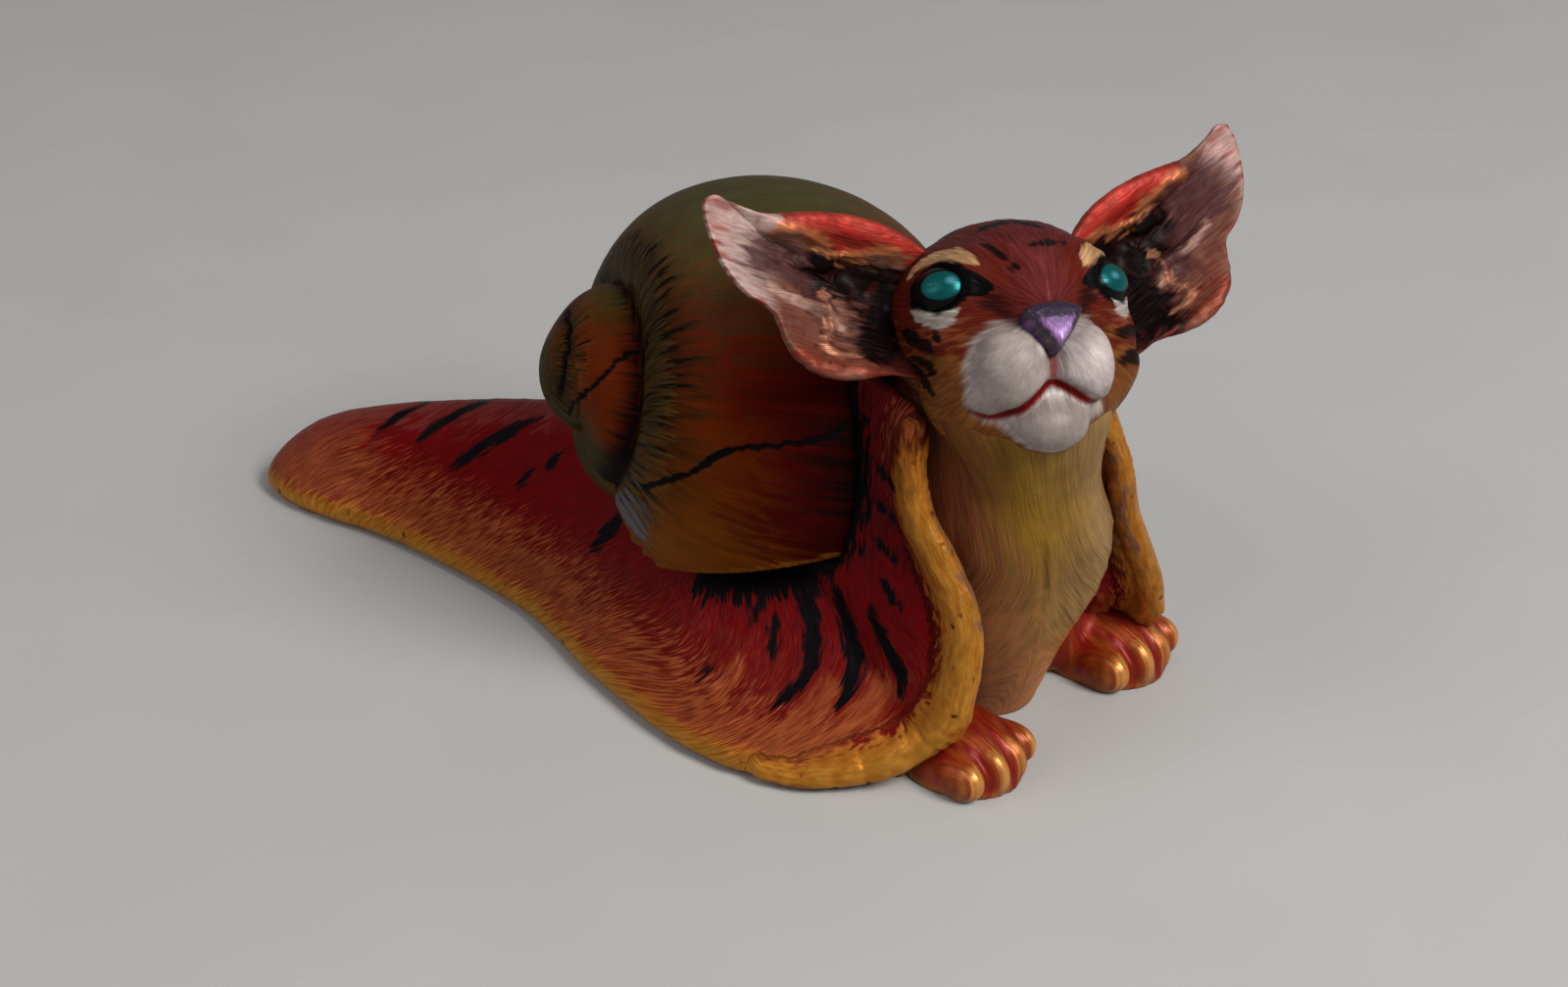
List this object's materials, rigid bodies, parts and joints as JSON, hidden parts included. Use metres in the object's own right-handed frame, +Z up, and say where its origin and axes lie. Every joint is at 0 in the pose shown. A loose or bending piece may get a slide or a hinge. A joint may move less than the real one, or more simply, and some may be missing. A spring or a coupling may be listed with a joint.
{
  "type": "cat figurine",
  "caption": "Painted ornament of a cat that is part snail: lifted cat head with wide ears, pale chest and forepaws in front of a slug body with a rimmed cape, and a coiled shell on its back.",
  "frame": {"origin": "on the flat sole, under the middle of the shell", "axes": "+X forwards along the slug body, +Y to the animal's left, +Z up"},
  "size_m": [0.1047, 0.0492, 0.0562],
  "materials": {
    "cape_paint": "satin pearl paint on cast resin, red-brown with a golden rim and black stripes",
    "chest_paint": "satin pearl paint on cast resin, ochre to cream, brushed like fur",
    "head_paint": "satin pearl paint on cast resin, red-brown with dark stripes and golden cheeks",
    "muzzle_paint": "satin pearl paint on cast resin, warm white",
    "nose_paint": "glossy purple pearl paint",
    "eye_gloss": "clear-coated teal metallic paint on a domed bead",
    "ear_paint": "satin pearl paint on cast resin, pink-white and copper over dark red",
    "paw_paint": "metallic orange-gold paint on cast resin",
    "shell_paint": "satin paint on cast resin, olive green to orange-brown and dark red with dark hair lines",
    "dowel_brass": "plain drawn rod, hidden"
  },
  "bodies": {
    "root": {"slug_body": "cape_paint", "chest": "chest_paint", "head": "head_paint", "ear_right": "ear_paint", "ear_left": "ear_paint", "eye_right": "eye_gloss", "eye_left": "eye_gloss", "whisker_pad_right": "muzzle_paint", "whisker_pad_left": "muzzle_paint", "chin": "muzzle_paint", "nose": "nose_paint", "paw_right": "paw_paint", "paw_left": "paw_paint", "shell": "shell_paint", "neck_dowel": "dowel_brass", "shell_dowel": "dowel_brass"}
  },
  "joints": []
}
